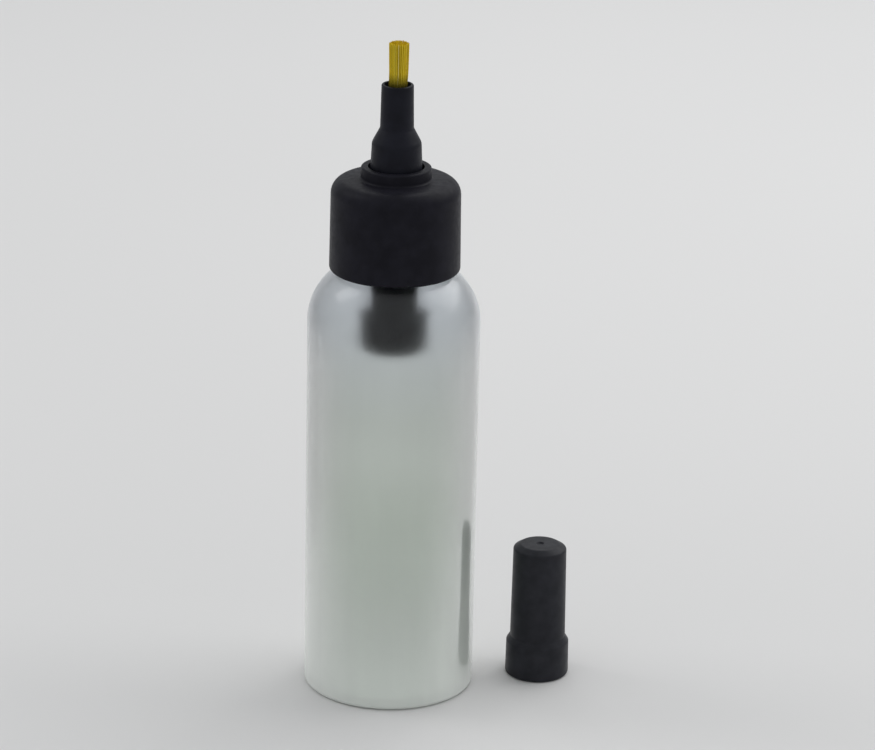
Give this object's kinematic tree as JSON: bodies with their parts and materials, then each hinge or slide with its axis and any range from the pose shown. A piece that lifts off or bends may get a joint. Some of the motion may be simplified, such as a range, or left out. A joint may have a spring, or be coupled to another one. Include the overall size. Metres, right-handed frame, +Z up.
{
  "type": "spring nib dispensing bottle",
  "caption": "Round translucent squeeze bottle with a black screw closure and stepped nozzle, a brush nib held out by a spring-loaded valve, and a loose overcap standing beside it.",
  "frame": {"origin": "on the bottle's axis, at the level of its foot ring; the base_center mount lies half a millimetre above it in the base's recess", "axes": "+Z up along the bottle's axis towards the brush; +X towards the standing overcap"},
  "size_m": [0.0552, 0.035, 0.1366],
  "materials": {
    "frosted_polyethylene": "satin, translucent",
    "black_polypropylene": "satin",
    "white_foam": "matte",
    "black_acetal": "satin",
    "grey_elastomer": "matte",
    "spring_steel": "bright drawn wire",
    "amber_bristle": "satin"
  },
  "bodies": {
    "bottle": {"bottle": "frosted_polyethylene", "overcap": "black_polypropylene"},
    "applicator": {"nozzle": "black_polypropylene", "neck_gasket": "white_foam", "valve_cup": "black_acetal", "return_spring": "spring_steel"},
    "closure": {"screw_closure": "black_polypropylene"},
    "nib": {"nib_holder": "black_acetal", "brush_tuft": "amber_bristle", "valve_plunger": "black_acetal", "valve_seal": "grey_elastomer"}
  },
  "joints": [
    {"name": "closure_lift", "type": "slide", "parent": "bottle", "child": "applicator", "axis": [0, 0, 1], "range_m": [0, 0.0048]},
    {"name": "closure_turn", "type": "hinge", "parent": "applicator", "child": "closure", "pos_m": [0, 0, 0.09], "axis": [0, 0, 1], "range_deg": [0, 540]},
    {"name": "nib_press", "type": "slide", "parent": "applicator", "child": "nib", "axis": [0, 0, -1], "range_m": [0, 0.0025], "stiffness_N_per_m": 200, "springref_m": -0.004, "deforming": ["return_spring"]}
  ],
  "couplings": [
    {"joint": "closure_lift", "follows": "closure_turn", "m_per_rad": 0.00050532}
  ]
}
